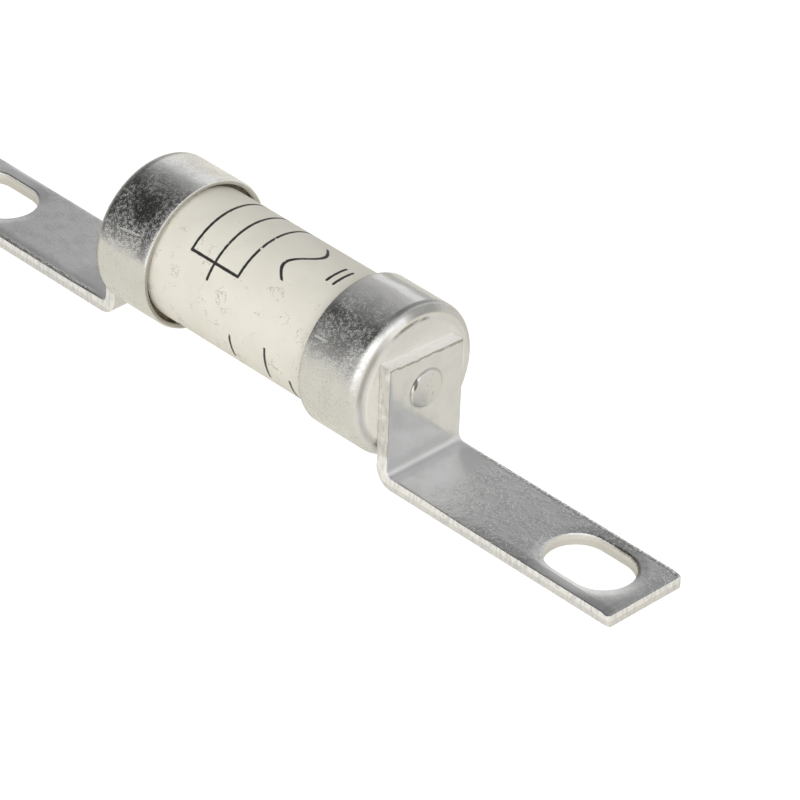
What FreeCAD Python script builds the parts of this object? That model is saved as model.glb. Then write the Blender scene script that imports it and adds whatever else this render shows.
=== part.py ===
import FreeCAD, Part
import math
import os
import Sketcher

# Tag fuse link: a ceramic barrel with two pairs of pressed caps and a bolted tag at each end.
# X runs along the barrel, Z points up, and z = 0 is the mounting plane under both feet.
# The origin lies midway between the two fixing slots. All sizes are millimetres.

document = FreeCAD.newDocument("TagFuse")

# Driving sizes
driving_sizes = {
    # tags
    "fixing_centres": 73.0,
    "slot_length": 8.3,
    "slot_width": 5.75,
    "slot_to_tip": 6.25,
    "tag_width": 8.4,
    "tag_thickness": 1.2,
    "bend_radius": 1.2,
    "riser_above_axis": 3.35,
    # barrel
    "axis_height": 8.0,
    "barrel_length": 29.0,
    "barrel_diameter": 12.15,
    "barrel_bore": 8.5,
    "fit_clearance": 0.02,
    # inner caps
    "inner_cap_wall": 0.3,
    "inner_cap_depth": 4.9,
    "inner_cap_corner": 0.5,
    "filling_hole": 1.8,
    "filling_hole_rise": 3.1,
    "plug_head": 2.6,
    # outer caps
    "outer_cap_wall": 0.5,
    "outer_cap_length": 6.7,
    "outer_cap_corner": 0.9,
    "shoulder_land": 0.365,
    "disc_step": 0.2,
    "seal_thickness": 0.45,
    # rivets
    "rivet_shank": 2.2,
    "rivet_head": 3.55,
    "rivet_head_height": 0.4,
    "rivet_head_edge": 0.3,
    "rivet_tail": 2.8,
    "rivet_tail_height": 0.3,
    "rivet_rise": 0.3,
    # fuse elements
    "element_width": 4.4,
    "element_thickness": 0.15,
    "element_spacing": 4.2,
    "element_tab": 2.2,
    "element_clearance": 0.1,
    "row_count": 4,
    "row_pitch": 5.0,
    "neck_hole": 3.3,
    "ridge_rise": 0.5,
    "ridge_length": 2.4,
    "alloy_length": 2.2,
    "alloy_thickness": 0.25,
}

sheet = document.addObject("Spreadsheet::Sheet", "Sizes")
for row, (alias, number) in enumerate(driving_sizes.items(), start=1):
    sheet.set(f"A{row}", alias)
    sheet.set(f"B{row}", str(number))
    sheet.setAlias(f"B{row}", alias)
document.recompute()

# Stations along the barrel, from its middle outwards
barrel_end = "(Sizes.barrel_length / 2)"
inner_cap_face = f"({barrel_end} + Sizes.inner_cap_wall)"
seal_back = f"({inner_cap_face} + Sizes.element_thickness)"
seal_front = f"({seal_back} + Sizes.seal_thickness)"
shoulder_face = f"({seal_front} + Sizes.outer_cap_wall)"
disc_face = f"({shoulder_face} + Sizes.disc_step)"
riser_face = f"({disc_face} + Sizes.tag_thickness)"
riser_top = "(Sizes.axis_height + Sizes.riser_above_axis)"
slot_station = "(Sizes.fixing_centres / 2)"
tip_station = f"({slot_station} + Sizes.slot_to_tip)"

# Radii and bores of the nested round pieces
inner_cap_bore = "(Sizes.barrel_diameter / 2 + Sizes.fit_clearance)"
inner_cap_skin = f"({inner_cap_bore} + Sizes.inner_cap_wall)"
outer_cap_bore = f"({inner_cap_skin} + Sizes.fit_clearance)"
outer_cap_skin = f"({outer_cap_bore} + Sizes.outer_cap_wall)"
disc_radius = f"({outer_cap_skin} - Sizes.outer_cap_corner - Sizes.shoulder_land)"
rivet_hole = "(Sizes.rivet_shank + 2 * Sizes.fit_clearance)"

# The two faces of a fuse element, measured from the barrel's axis
element_inner = "(Sizes.element_spacing / 2)"
element_outer = f"({element_inner} + Sizes.element_thickness)"

# Turning axes for the placements
UPRIGHT = FreeCAD.Vector(0, 0, 1)
LENGTHWISE = FreeCAD.Vector(1, 0, 0)

parts = []


def size(alias):
    return float(sheet.get(alias))


def same(first, second):
    return abs(first - second) < 1e-4


def new_body(label, height="Sizes.axis_height"):
    body = document.addObject("PartDesign::Body", label)
    body.Label = label
    body.setExpression("Placement.Base.z", height)
    parts.append(body)
    return body


def turn_about(body, axis, turned):
    if turned:
        body.Placement.Rotation = FreeCAD.Rotation(axis, 180)


def new_sketch(body, name, plane, station="0"):
    sketch = body.newObject("Sketcher::SketchObject", name)
    origin_plane = next(item for item in body.Origin.OriginFeatures if item.Role == plane)
    sketch.AttachmentSupport = [(origin_plane, "")]
    sketch.MapMode = "FlatFace"
    sketch.setExpression("AttachmentOffset.Base.z", station)
    return sketch


def bind(sketch, constraint, expression):
    index = sketch.addConstraint(constraint)
    sketch.setExpression(f"Constraints[{index}]", expression)


def hold_point(sketch, geometry, point, across, up):
    place = sketch.getPoint(geometry, point)
    bind(sketch, Sketcher.Constraint("DistanceX", -1, 1, geometry, point, place.x), across)
    bind(sketch, Sketcher.Constraint("DistanceY", -1, 1, geometry, point, place.y), up)


def draw_outline(sketch, corners):
    # A closed outline of straight lines, each corner held by two expressions
    first = sketch.GeometryCount
    count = len(corners)
    turns = [2 * math.pi * index / count for index in range(count)]
    places = [FreeCAD.Vector(math.cos(turn), math.sin(turn), 0) for turn in turns]
    for index in range(count):
        sketch.addGeometry(Part.LineSegment(places[index], places[(index + 1) % count]), False)
    for index in range(count):
        following = first + (index + 1) % count
        sketch.addConstraint(Sketcher.Constraint("Coincident", first + index, 2, following, 1))
    for index, (across, up) in enumerate(corners):
        hold_point(sketch, first + index, 1, across, up)


def draw_rectangle(sketch, left, right, bottom, top):
    draw_outline(sketch, [(left, bottom), (right, bottom), (right, top), (left, top)])


def draw_circle(sketch, across, up, diameter):
    circle = Part.Circle(FreeCAD.Vector(1, 1, 0), UPRIGHT, 1)
    index = sketch.addGeometry(circle, False)
    hold_point(sketch, index, 3, across, up)
    bind(sketch, Sketcher.Constraint("Diameter", index, 2), diameter)


def revolve(body, sketch):
    feature = body.newObject("PartDesign::Revolution", "Turned")
    feature.Profile = sketch
    feature.ReferenceAxis = (sketch, ["H_Axis"])
    feature.Angle = 360
    document.recompute()
    return feature


def pad(body, sketch, length, both_ways=False):
    feature = body.newObject("PartDesign::Pad", "Raised")
    feature.Profile = sketch
    feature.Midplane = both_ways
    feature.setExpression("Length", length)
    document.recompute()
    return feature


def pocket(body, sketch, length, both_ways=False):
    # Cuts against the sketch's normal
    volume_before = body.Shape.Volume
    feature = body.newObject("PartDesign::Pocket", "Cut")
    feature.Profile = sketch
    feature.Midplane = both_ways
    feature.setExpression("Length", length)
    document.recompute()
    if body.Shape.Volume >= volume_before:
        raise RuntimeError(f"{sketch.Label} cuts nothing from {body.Label}")
    return feature


def edge_names(shape, wanted):
    return [f"Edge{index}" for index, edge in enumerate(shape.Edges, start=1) if wanted(edge)]


def round_edges(body, wanted, radius):
    base = body.Tip
    feature = body.newObject("PartDesign::Fillet", "Rounded")
    feature.Base = (base, edge_names(base.Shape, wanted))
    feature.setExpression("Radius", radius)
    document.recompute()


def bevel_edges(body, wanted, width):
    base = body.Tip
    feature = body.newObject("PartDesign::Chamfer", "Bevelled")
    feature.Base = (base, edge_names(base.Shape, wanted))
    feature.setExpression("Size", width)
    document.recompute()


def is_ring(edge):
    return isinstance(edge.Curve, Part.Circle)


def closed_end_ring(body, inside=False):
    # The outer or the inner corner at the closed end of a cap whose mouth faces the middle
    rings = [edge for edge in body.Tip.Shape.Edges if is_ring(edge)]
    mouth = min(ring.Curve.Center.x for ring in rings)
    mouth_radii = [ring.Curve.Radius for ring in rings if same(ring.Curve.Center.x, mouth)]
    radius = min(mouth_radii) if inside else max(mouth_radii)
    matching = [ring for ring in rings if same(ring.Curve.Radius, radius)]
    return max(matching, key=lambda ring: ring.Curve.Center.x)


def end_face_ring(body):
    # The edge round the face that lies furthest out along the axis
    rings = [edge for edge in body.Tip.Shape.Edges if is_ring(edge)]
    furthest = max(ring.Curve.Center.x for ring in rings)
    matching = [ring for ring in rings if same(ring.Curve.Center.x, furthest)]
    return max(matching, key=lambda ring: ring.Curve.Radius)


def make_barrel():
    body = new_body("ceramic_barrel")
    section = new_sketch(body, "Section", "YZ_Plane")
    draw_circle(section, "0", "0", "Sizes.barrel_diameter")
    draw_circle(section, "0", "0", "Sizes.barrel_bore")
    pad(body, section, "Sizes.barrel_length", both_ways=True)
    skin = size("barrel_diameter") / 2
    # the ends are bevelled enough to clear the corner inside each inner cap
    bevel_edges(
        body,
        lambda edge: is_ring(edge) and same(edge.Curve.Radius, skin),
        "Sizes.inner_cap_corner",
    )


def make_inner_cap(side, turned, has_filling_hole):
    body = new_body(f"inner_cap_{side}")
    rim = f"{inner_cap_face} - Sizes.inner_cap_depth"
    profile = new_sketch(body, "Profile", "XZ_Plane")
    draw_outline(
        profile,
        [
            (rim, inner_cap_bore),
            (rim, inner_cap_skin),
            (inner_cap_face, inner_cap_skin),
            (inner_cap_face, "0"),
            (barrel_end, "0"),
            (barrel_end, inner_cap_bore),
        ],
    )
    revolve(body, profile)
    outer_corner = closed_end_ring(body)
    bevel_edges(body, outer_corner.isSame, "Sizes.inner_cap_corner")
    inner_corner = closed_end_ring(body, inside=True)
    bevel_edges(body, inner_corner.isSame, "Sizes.inner_cap_corner - Sizes.inner_cap_wall")
    # a slot for each fuse element
    near_side = f"({element_inner} - Sizes.element_clearance)"
    far_side = f"({element_outer} + Sizes.element_clearance)"
    half_height = "(Sizes.element_width / 2 + Sizes.element_clearance)"
    slots = new_sketch(body, "ElementSlots", "YZ_Plane", inner_cap_face)
    draw_rectangle(slots, near_side, far_side, f"-{half_height}", half_height)
    draw_rectangle(slots, f"-{far_side}", f"-{near_side}", f"-{half_height}", half_height)
    pocket(body, slots, "Sizes.inner_cap_wall")
    if has_filling_hole:
        hole = new_sketch(body, "FillingHole", "YZ_Plane", inner_cap_face)
        draw_circle(hole, "0", "Sizes.filling_hole_rise", "Sizes.filling_hole")
        pocket(body, hole, "Sizes.inner_cap_wall")
    turn_about(body, UPRIGHT, turned)


def make_filler_plug():
    # Closes the filling hole; its head is as thick as the element ends beside it
    height = "Sizes.axis_height + Sizes.filling_hole_rise"
    body = new_body("filler_plug", height)
    shank_radius = "(Sizes.filling_hole / 2 - Sizes.fit_clearance)"
    head_radius = "(Sizes.plug_head / 2)"
    profile = new_sketch(body, "Profile", "XZ_Plane")
    draw_outline(
        profile,
        [
            (barrel_end, "0"),
            (barrel_end, shank_radius),
            (inner_cap_face, shank_radius),
            (inner_cap_face, head_radius),
            (seal_back, head_radius),
            (seal_back, "0"),
        ],
    )
    revolve(body, profile)


def make_sealing_disc(side, turned):
    # A fibre washer between the caps, open in the middle for the rivet's tail
    body = new_body(f"sealing_disc_{side}")
    inner_corner = "(Sizes.outer_cap_corner - Sizes.outer_cap_wall)"
    outer_diameter = f"2 * ({outer_cap_bore} - {inner_corner} - Sizes.fit_clearance)"
    tail_room = "Sizes.rivet_tail + 2 * Sizes.rivet_rise + 4 * Sizes.fit_clearance"
    section = new_sketch(body, "Section", "YZ_Plane", seal_back)
    draw_circle(section, "0", "0", outer_diameter)
    draw_circle(section, "0", "0", tail_room)
    pad(body, section, "Sizes.seal_thickness")
    turn_about(body, UPRIGHT, turned)


def make_outer_cap(side, turned):
    body = new_body(f"outer_cap_{side}")
    rim = f"{disc_face} - Sizes.outer_cap_length"
    profile = new_sketch(body, "Profile", "XZ_Plane")
    draw_outline(
        profile,
        [
            (rim, outer_cap_bore),
            (rim, outer_cap_skin),
            (shoulder_face, outer_cap_skin),
            (shoulder_face, disc_radius),
            (disc_face, disc_radius),
            (disc_face, "0"),
            (seal_front, "0"),
            (seal_front, outer_cap_bore),
        ],
    )
    revolve(body, profile)
    inner_corner = closed_end_ring(body, inside=True)
    bevel_edges(body, inner_corner.isSame, "Sizes.outer_cap_corner - Sizes.outer_cap_wall")
    round_edges(body, closed_end_ring(body).isSame, "Sizes.outer_cap_corner")
    hole = new_sketch(body, "RivetHole", "YZ_Plane", disc_face)
    draw_circle(hole, "0", "Sizes.rivet_rise", rivet_hole)
    pocket(body, hole, "Sizes.outer_cap_wall + Sizes.disc_step")
    turn_about(body, UPRIGHT, turned)


def make_tag(side, turned):
    # One strip: a riser on the cap's end face, a bend, and a foot with its slot
    body = new_body(f"tag_{side}", "0")
    profile = new_sketch(body, "Profile", "XZ_Plane")
    draw_outline(
        profile,
        [
            (disc_face, "0"),
            (tip_station, "0"),
            (tip_station, "Sizes.tag_thickness"),
            (riser_face, "Sizes.tag_thickness"),
            (riser_face, riser_top),
            (disc_face, riser_top),
        ],
    )
    blank = pad(body, profile, "Sizes.tag_width", both_ways=True)
    box = blank.Shape.BoundBox

    def crosses(edge):
        return edge.BoundBox.XLength < 1e-4 and edge.BoundBox.ZLength < 1e-4

    def outside_bend(edge):
        middle = edge.CenterOfMass
        return crosses(edge) and same(middle.x, box.XMin) and same(middle.z, box.ZMin)

    def inside_bend(edge):
        middle = edge.CenterOfMass
        within_length = box.XMin + 1e-4 < middle.x < box.XMax - 1e-4
        within_height = box.ZMin + 1e-4 < middle.z < box.ZMax - 1e-4
        return crosses(edge) and within_length and within_height

    round_edges(body, outside_bend, "Sizes.bend_radius + Sizes.tag_thickness")
    round_edges(body, inside_bend, "Sizes.bend_radius")
    # the fixing slot: a straight middle and two round ends
    half_straight = "((Sizes.slot_length - Sizes.slot_width) / 2)"
    slot_left = f"({slot_station} - {half_straight})"
    slot_right = f"({slot_station} + {half_straight})"
    half_width = "(Sizes.slot_width / 2)"
    middle = new_sketch(body, "SlotMiddle", "XY_Plane", "Sizes.tag_thickness")
    draw_rectangle(middle, slot_left, slot_right, f"-{half_width}", half_width)
    pocket(body, middle, "Sizes.tag_thickness")
    for slot_end in (slot_left, slot_right):
        end = new_sketch(body, "SlotEnd", "XY_Plane", "Sizes.tag_thickness")
        draw_circle(end, slot_end, "0", "Sizes.slot_width")
        pocket(body, end, "Sizes.tag_thickness")
    hole = new_sketch(body, "RivetHole", "YZ_Plane", riser_face)
    draw_circle(hole, "0", "Sizes.axis_height + Sizes.rivet_rise", rivet_hole)
    pocket(body, hole, "Sizes.tag_thickness")
    turn_about(body, UPRIGHT, turned)


def make_rivet(side, turned):
    body = new_body(f"tag_rivet_{side}", "Sizes.axis_height + Sizes.rivet_rise")
    tail_end = f"{seal_front} - Sizes.rivet_tail_height"
    head_face = f"{riser_face} + Sizes.rivet_head_height"
    profile = new_sketch(body, "Profile", "XZ_Plane")
    draw_outline(
        profile,
        [
            (tail_end, "0"),
            (tail_end, "Sizes.rivet_tail / 2"),
            (seal_front, "Sizes.rivet_tail / 2"),
            (seal_front, "Sizes.rivet_shank / 2"),
            (riser_face, "Sizes.rivet_shank / 2"),
            (riser_face, "Sizes.rivet_head / 2"),
            (head_face, "Sizes.rivet_head / 2"),
            (head_face, "0"),
        ],
    )
    revolve(body, profile)
    bevel_edges(body, end_face_ring(body).isSame, "Sizes.rivet_head_edge")
    turn_about(body, UPRIGHT, turned)


def ridge_corners(face):
    # The raised ridges that let a fuse element stretch, on one face from left to right
    corners = []
    for direction in ("-", ""):
        centre = f"{direction}Sizes.row_pitch"
        crest = f"{face} + Sizes.ridge_rise"
        corners += [
            (f"{centre} - Sizes.ridge_length / 2", face),
            (f"{centre} - Sizes.ridge_length / 4", crest),
            (f"{centre} + Sizes.ridge_length / 4", crest),
            (f"{centre} + Sizes.ridge_length / 2", face),
        ]
    return corners


def make_fuse_element(side, turned):
    # A thin strip through both inner caps, its ends turned out flat against them
    body = new_body(f"fuse_element_{side}")
    tab_tip = f"({element_inner} + Sizes.element_tab)"
    profile = new_sketch(body, "Profile", "XY_Plane")
    draw_outline(
        profile,
        [(f"-{seal_back}", element_inner)]
        + ridge_corners(element_inner)
        + [
            (seal_back, element_inner),
            (seal_back, tab_tip),
            (inner_cap_face, tab_tip),
            (inner_cap_face, element_outer),
        ]
        + ridge_corners(element_outer)[::-1]
        + [
            (f"-{inner_cap_face}", element_outer),
            (f"-{inner_cap_face}", tab_tip),
            (f"-{seal_back}", tab_tip),
        ],
    )
    pad(body, profile, "Sizes.element_width", both_ways=True)
    # each hole leaves two narrow necks, one at either edge of the strip
    hole = new_sketch(body, "NeckHole", "XZ_Plane")
    first_row = "-(Sizes.row_count - 1) / 2 * Sizes.row_pitch"
    draw_circle(hole, first_row, "0", "Sizes.neck_hole")
    first = pocket(body, hole, f"2 * {element_outer} + Sizes.element_thickness", both_ways=True)
    rows = body.newObject("PartDesign::LinearPattern", "NeckRows")
    rows.Originals = [first]
    rows.Direction = (hole, ["H_Axis"])
    rows.setExpression("Length", "(Sizes.row_count - 1) * Sizes.row_pitch")
    rows.setExpression("Occurrences", "Sizes.row_count")
    body.Tip = rows
    document.recompute()
    turn_about(body, LENGTHWISE, turned)


def make_alloy_spot(side, turned):
    # The bead of low-melting alloy on the middle of a fuse element, with sloping ends
    body = new_body(f"alloy_spot_{side}")
    half_length = "(Sizes.alloy_length / 2)"
    half_crest = f"({half_length} - Sizes.alloy_thickness)"
    crest = f"({element_outer} + Sizes.alloy_thickness)"
    outline = new_sketch(body, "Outline", "XY_Plane")
    draw_outline(
        outline,
        [
            (f"-{half_length}", element_outer),
            (half_length, element_outer),
            (half_crest, crest),
            (f"-{half_crest}", crest),
        ],
    )
    pad(body, outline, "Sizes.element_width", both_ways=True)
    turn_about(body, LENGTHWISE, turned)


def make_quartz_filler():
    # The packed sand, with a channel for each fuse element and its alloy spot
    body = new_body("quartz_filler")
    section = new_sketch(body, "Section", "YZ_Plane")
    draw_circle(section, "0", "0", "Sizes.barrel_bore - 2 * Sizes.fit_clearance")
    pad(body, section, "Sizes.barrel_length", both_ways=True)
    channel_height = "Sizes.element_width + 2 * Sizes.element_clearance"
    near_side = f"({element_inner} - Sizes.fit_clearance)"
    far_side = f"({element_outer} + Sizes.fit_clearance)"
    alloy_crest = f"({far_side} + Sizes.alloy_thickness)"
    alloy_reach = "(Sizes.alloy_length / 2 + Sizes.fit_clearance)"
    for direction in ("", "-"):
        corners = (
            [(f"-{barrel_end}", near_side)]
            + ridge_corners(near_side)
            + [(barrel_end, near_side), (barrel_end, far_side)]
            + ridge_corners(far_side)[::-1]
            + [(f"-{barrel_end}", far_side)]
        )
        channel = new_sketch(body, "Channel", "XY_Plane")
        draw_outline(channel, [(across, f"{direction}({up})") for across, up in corners])
        pocket(body, channel, channel_height, both_ways=True)
        room = new_sketch(body, "AlloyRoom", "XY_Plane")
        draw_rectangle(
            room,
            f"-{alloy_reach}",
            alloy_reach,
            f"{direction}{near_side}",
            f"{direction}{alloy_crest}",
        )
        pocket(body, room, channel_height, both_ways=True)


def check_objects():
    for item in document.Objects:
        if "Invalid" in item.State or "Error" in item.State:
            raise RuntimeError(f"{item.Label} failed: {item.State}")
    for part in parts:
        if part.Shape.isNull() or not part.Shape.isValid():
            raise RuntimeError(f"{part.Label} has no valid shape")


def write_parts():
    os.makedirs("parts", exist_ok=True)
    for part in parts:
        part.Shape.exportStep(f"parts/{part.Label}.step")


make_barrel()
make_filler_plug()
make_quartz_filler()
for side, turned in (("right", False), ("left", True)):
    make_inner_cap(side, turned, has_filling_hole=side == "right")
    make_sealing_disc(side, turned)
    make_outer_cap(side, turned)
    make_tag(side, turned)
    make_rivet(side, turned)
for side, turned in (("rear", False), ("front", True)):
    make_fuse_element(side, turned)
    make_alloy_spot(side, turned)
document.recompute()
check_objects()
write_parts()
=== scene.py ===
import math

import bmesh
import bpy
from mathutils import Matrix, Vector


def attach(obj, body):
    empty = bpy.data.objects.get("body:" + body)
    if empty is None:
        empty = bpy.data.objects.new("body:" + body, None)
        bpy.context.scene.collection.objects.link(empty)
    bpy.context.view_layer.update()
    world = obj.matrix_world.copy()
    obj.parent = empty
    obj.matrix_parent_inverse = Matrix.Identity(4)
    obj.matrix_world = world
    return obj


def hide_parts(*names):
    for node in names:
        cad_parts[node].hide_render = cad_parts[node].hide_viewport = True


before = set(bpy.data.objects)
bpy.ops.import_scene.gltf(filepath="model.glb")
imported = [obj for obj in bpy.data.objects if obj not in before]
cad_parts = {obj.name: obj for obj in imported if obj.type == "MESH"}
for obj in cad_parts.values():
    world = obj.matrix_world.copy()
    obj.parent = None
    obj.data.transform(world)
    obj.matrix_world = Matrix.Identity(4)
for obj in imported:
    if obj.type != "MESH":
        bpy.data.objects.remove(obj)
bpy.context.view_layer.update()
print("frame loaded with", len(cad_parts), "nodes")

mm = 0.001  # lengths below are written in millimetres
axisHeight = 8.0  # the tube's axis over the plane that the tags stand on
weldGap = 0.002 * mm  # vertices closer than this are one


# modelling helpers

def deselectAll():
    bpy.ops.object.select_all(action="DESELECT")


def selectOnly(piece):
    deselectAll()
    piece.select_set(True)
    bpy.context.view_layer.objects.active = piece


def startEditing(piece, everything=True):
    selectOnly(piece)
    bpy.ops.object.mode_set(mode="EDIT")
    bpy.ops.mesh.select_mode(type="VERT")
    bpy.ops.mesh.select_all(action="SELECT" if everything else "DESELECT")


def stopEditing():
    bpy.ops.object.mode_set(mode="OBJECT")


def pick(piece, passes):  # selects the vertices where passes(place in mm) is true
    bpy.ops.mesh.select_mode(type="VERT")
    bpy.ops.mesh.select_all(action="DESELECT")
    mesh = bmesh.from_edit_mesh(piece.data)
    for vertex in mesh.verts:
        vertex.select_set(passes(vertex.co / mm))
    mesh.select_flush_mode()
    bmesh.update_edit_mesh(piece.data)


def drawLine(name, points):  # a chain of vertices, each extruded from the one before; points in mm
    deselectAll()
    bpy.ops.mesh.primitive_plane_add(size=mm, location=Vector(points[0]) * mm)
    piece = bpy.context.object
    piece.name = piece.data.name = name
    bpy.ops.object.transform_apply(location=True, rotation=True, scale=True)
    startEditing(piece)
    bpy.ops.mesh.merge(type="CENTER")
    for here, there in zip(points, points[1:]):
        bpy.ops.mesh.extrude_vertices_move(
            TRANSFORM_OT_translate={"value": (Vector(there) - Vector(here)) * mm})
    stopEditing()
    return piece


def weld(piece, outwards=True):
    startEditing(piece)
    bpy.ops.mesh.remove_doubles(threshold=weldGap)
    if outwards:
        bpy.ops.mesh.normals_make_consistent(inside=False)
    stopEditing()


def turn(name, section, height, steps):  # spins a half section, (x, r) points, round a line along X
    piece = drawLine(name, [(x, 0, height + r) for x, r in section])
    startEditing(piece)
    bpy.ops.mesh.spin(steps=steps, angle=2 * math.pi, center=Vector((0, 0, height)) * mm, axis=(1, 0, 0))
    stopEditing()
    weld(piece)
    return piece


def extrudeLoop(move):
    bpy.ops.mesh.extrude_region_move(TRANSFORM_OT_translate={"value": Vector(move) * mm})


def arcPoints(centre, radius, start, stop, count):  # (x, r) points of an arc, angles in degrees
    points = []
    for i in range(count + 1):
        angle = math.radians(start + (stop - start) * i / count)
        points.append((centre[0] + radius * math.cos(angle), centre[1] + radius * math.sin(angle)))
    return points


def cutWith(piece, cutter):
    selectOnly(piece)
    cut = piece.modifiers.new("cut", "BOOLEAN")
    cut.operation = "DIFFERENCE"
    cut.solver = "EXACT"
    cut.object = cutter
    bpy.ops.object.modifier_apply(modifier=cut.name)
    bpy.data.objects.remove(cutter, do_unlink=True)


def smooth(piece, angle, weighted=False):
    selectOnly(piece)
    bpy.ops.object.shade_smooth_by_angle(angle=math.radians(angle))
    if weighted:
        even = piece.modifiers.new("even", "WEIGHTED_NORMAL")
        even.keep_sharp = True
        even.weight = 100
        bpy.ops.object.modifier_apply(modifier=even.name)


def turnedCopy(piece, name):  # the same piece at the other end, turned half round about Z
    selectOnly(piece)
    bpy.ops.object.duplicate()
    other = bpy.context.object
    other.name = other.data.name = name
    other.rotation_euler = (0, 0, math.pi)
    bpy.ops.object.transform_apply(location=True, rotation=True, scale=True)
    return other


def finishPiece(piece, finish, node):
    piece.data.materials.clear()
    piece.data.materials.append(finish)
    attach(piece, "root")
    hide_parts(node)


# shader helpers

class Wire:  # a socket that can stand in a sum
    def __init__(self, bench, source, socket):
        self.bench = bench
        self.source = source
        self.socket = socket

    def out(self, name):
        return Wire(self.bench, self.source, self.source.outputs[name])

    def __add__(self, other):
        return self.bench.maths("ADD", self, other)

    def __sub__(self, other):
        return self.bench.maths("SUBTRACT", self, other)

    def __rsub__(self, other):
        return self.bench.maths("SUBTRACT", other, self)

    def __mul__(self, other):
        return self.bench.maths("MULTIPLY", self, other)

    def __truediv__(self, other):
        return self.bench.maths("DIVIDE", self, other)

    def __abs__(self):
        return self.bench.maths("ABSOLUTE", self)

    __radd__ = __add__
    __rmul__ = __mul__

    def larger(self, other):
        return self.bench.maths("MAXIMUM", self, other)

    def smaller(self, other):
        return self.bench.maths("MINIMUM", self, other)

    def rise(self, low, high):  # 0 below low, 1 above high, soft between
        settings = {"interpolation_type": "SMOOTHSTEP"}
        return self.bench.node("ShaderNodeMapRange", settings, {0: self, 1: low, 2: high, 3: 0.0, 4: 1.0})

    def fall(self, low, high):
        return 1 - self.rise(low, high)

    def line(self, middle, full, gone):  # a soft line, 1 up to full from its middle and 0 past gone
        return abs(self - middle).fall(full, gone)


class Bench:  # a node tree that is being wired
    def __init__(self, tree):
        self.tree = tree
        self.tree.nodes.clear()

    def node(self, kind, settings=None, sockets=None, output=0):
        made = self.tree.nodes.new(kind)
        for key, value in (settings or {}).items():
            if key == "stops":
                self.setStops(made.color_ramp, value)
            else:
                setattr(made, key, value)
        for key, value in (sockets or {}).items():
            if isinstance(value, Wire):
                self.tree.links.new(value.socket, made.inputs[key])
            else:
                made.inputs[key].default_value = value
        return Wire(self, made, made.outputs[output] if len(made.outputs) else None)

    def setStops(self, ramp, stops):  # place and grey level of each
        ramp.interpolation = "EASE"
        while len(ramp.elements) > 1:
            ramp.elements.remove(ramp.elements[-1])
        for i, (place, level) in enumerate(stops):
            element = ramp.elements[0] if i == 0 else ramp.elements.new(place)
            element.position = place
            element.color = (level, level, level, 1)

    def maths(self, operation, *values):
        return self.node("ShaderNodeMath", {"operation": operation}, dict(enumerate(values)))

    def vector(self, operation, *values):
        return self.node("ShaderNodeVectorMath", {"operation": operation}, dict(enumerate(values)))

    def split(self, vector):
        parts = self.node("ShaderNodeSeparateXYZ", None, {0: vector})
        return parts.out("X"), parts.out("Y"), parts.out("Z")

    def join(self, x, y, z):
        return self.node("ShaderNodeCombineXYZ", None, {0: x, 1: y, 2: z})

    def distance(self, aside, up):
        return self.maths("SQRT", aside * aside + up * up)

    def blend(self, factor, *colours):  # two colours, each a wire or its red, green and blue
        first, second = (colour if isinstance(colour, Wire) else (*colour, 1) for colour in colours)
        return self.node("ShaderNodeMix", {"data_type": "RGBA"}, {0: factor, 6: first, 7: second}, output=2)

    def blendVector(self, factor, first, second):
        return self.node("ShaderNodeMix", {"data_type": "VECTOR"}, {0: factor, 4: first, 5: second}, output=1)

    def place(self):  # the point on the piece, in mm
        where = self.node("ShaderNodeTexCoord", None, None, output="Object")
        return self.vector("MULTIPLY", where, (1 / mm, 1 / mm, 1 / mm))

    def facing(self):
        return self.node("ShaderNodeNewGeometry", None, None, output="Normal")

    def roundTube(self, y, z):  # the angle about the tube's axis, from the front up, in radians
        return self.maths("ARCTAN2", z - axisHeight, y * -1)

    def noise(self, where, scale, detail=2.0, roughness=0.5, stretch=None):
        if stretch:
            where = self.vector("MULTIPLY", where, stretch)
        sockets = {"Vector": where, "Scale": scale, "Detail": detail, "Roughness": roughness}
        return self.node("ShaderNodeTexNoise", None, sockets)

    def strokes(self, flat, spacing, length, width, seed):  # one short scratch in each cell, at any angle
        moved = self.vector("ADD", flat, (7.31 * seed, 3.17 * seed, 0))
        sockets = {"Vector": moved, "Scale": 1 / spacing, "Randomness": 1.0}
        cell = self.node("ShaderNodeTexVoronoi", {"voronoi_dimensions": "2D", "feature": "F1"}, sockets)
        away = self.vector("SUBTRACT", moved, cell.out("Position"))
        dx, dy, _ = self.split(away)
        hue = self.node("ShaderNodeSeparateColor", None, {0: cell.out("Color")})
        angle = hue.out("Red") * (2 * math.pi)
        sine = self.maths("SINE", angle)
        cosine = self.maths("COSINE", angle)
        along = dx * cosine + dy * sine
        across = dy * cosine - dx * sine + along * along * (hue.out("Blue") - 0.5) * (0.8 / length)
        reach = (hue.out("Green") * 0.7 + 0.3) * (length / 2)
        return abs(across).fall(width * 0.3, width) * (abs(along) / reach).fall(0.6, 1.0)

    def hairs(self, flat, kinds):  # strokes of several kinds laid over each other
        hair = 0.0
        for kind in kinds:
            hair = self.strokes(flat, *kind).larger(hair)
        return hair

    def bump(self, height, under=None):  # height in mm
        sockets = {"Strength": 1.0, "Distance": mm, "Height": height}
        if under:
            sockets["Normal"] = under
        return self.node("ShaderNodeBump", None, sockets)


def newFinish(name):
    material = bpy.data.materials.new(name)
    material.use_nodes = True
    return material, Bench(material.node_tree)


def closeFinish(bench, sockets, constants=None):
    sockets = dict(constants or {}, **sockets)
    surface = bench.node("ShaderNodeBsdfPrincipled", None, sockets)
    bench.node("ShaderNodeOutputMaterial", None, {"Surface": surface})


# stage: camera, floor, light

cameraSetup = {"azimuth": 44.77, "elevation": 34.27, "roll": 2.23, "distance": 462.1, "lens": 247.5,
               "sensor": 36, "right": 10.15, "up": -1.64}


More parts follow.
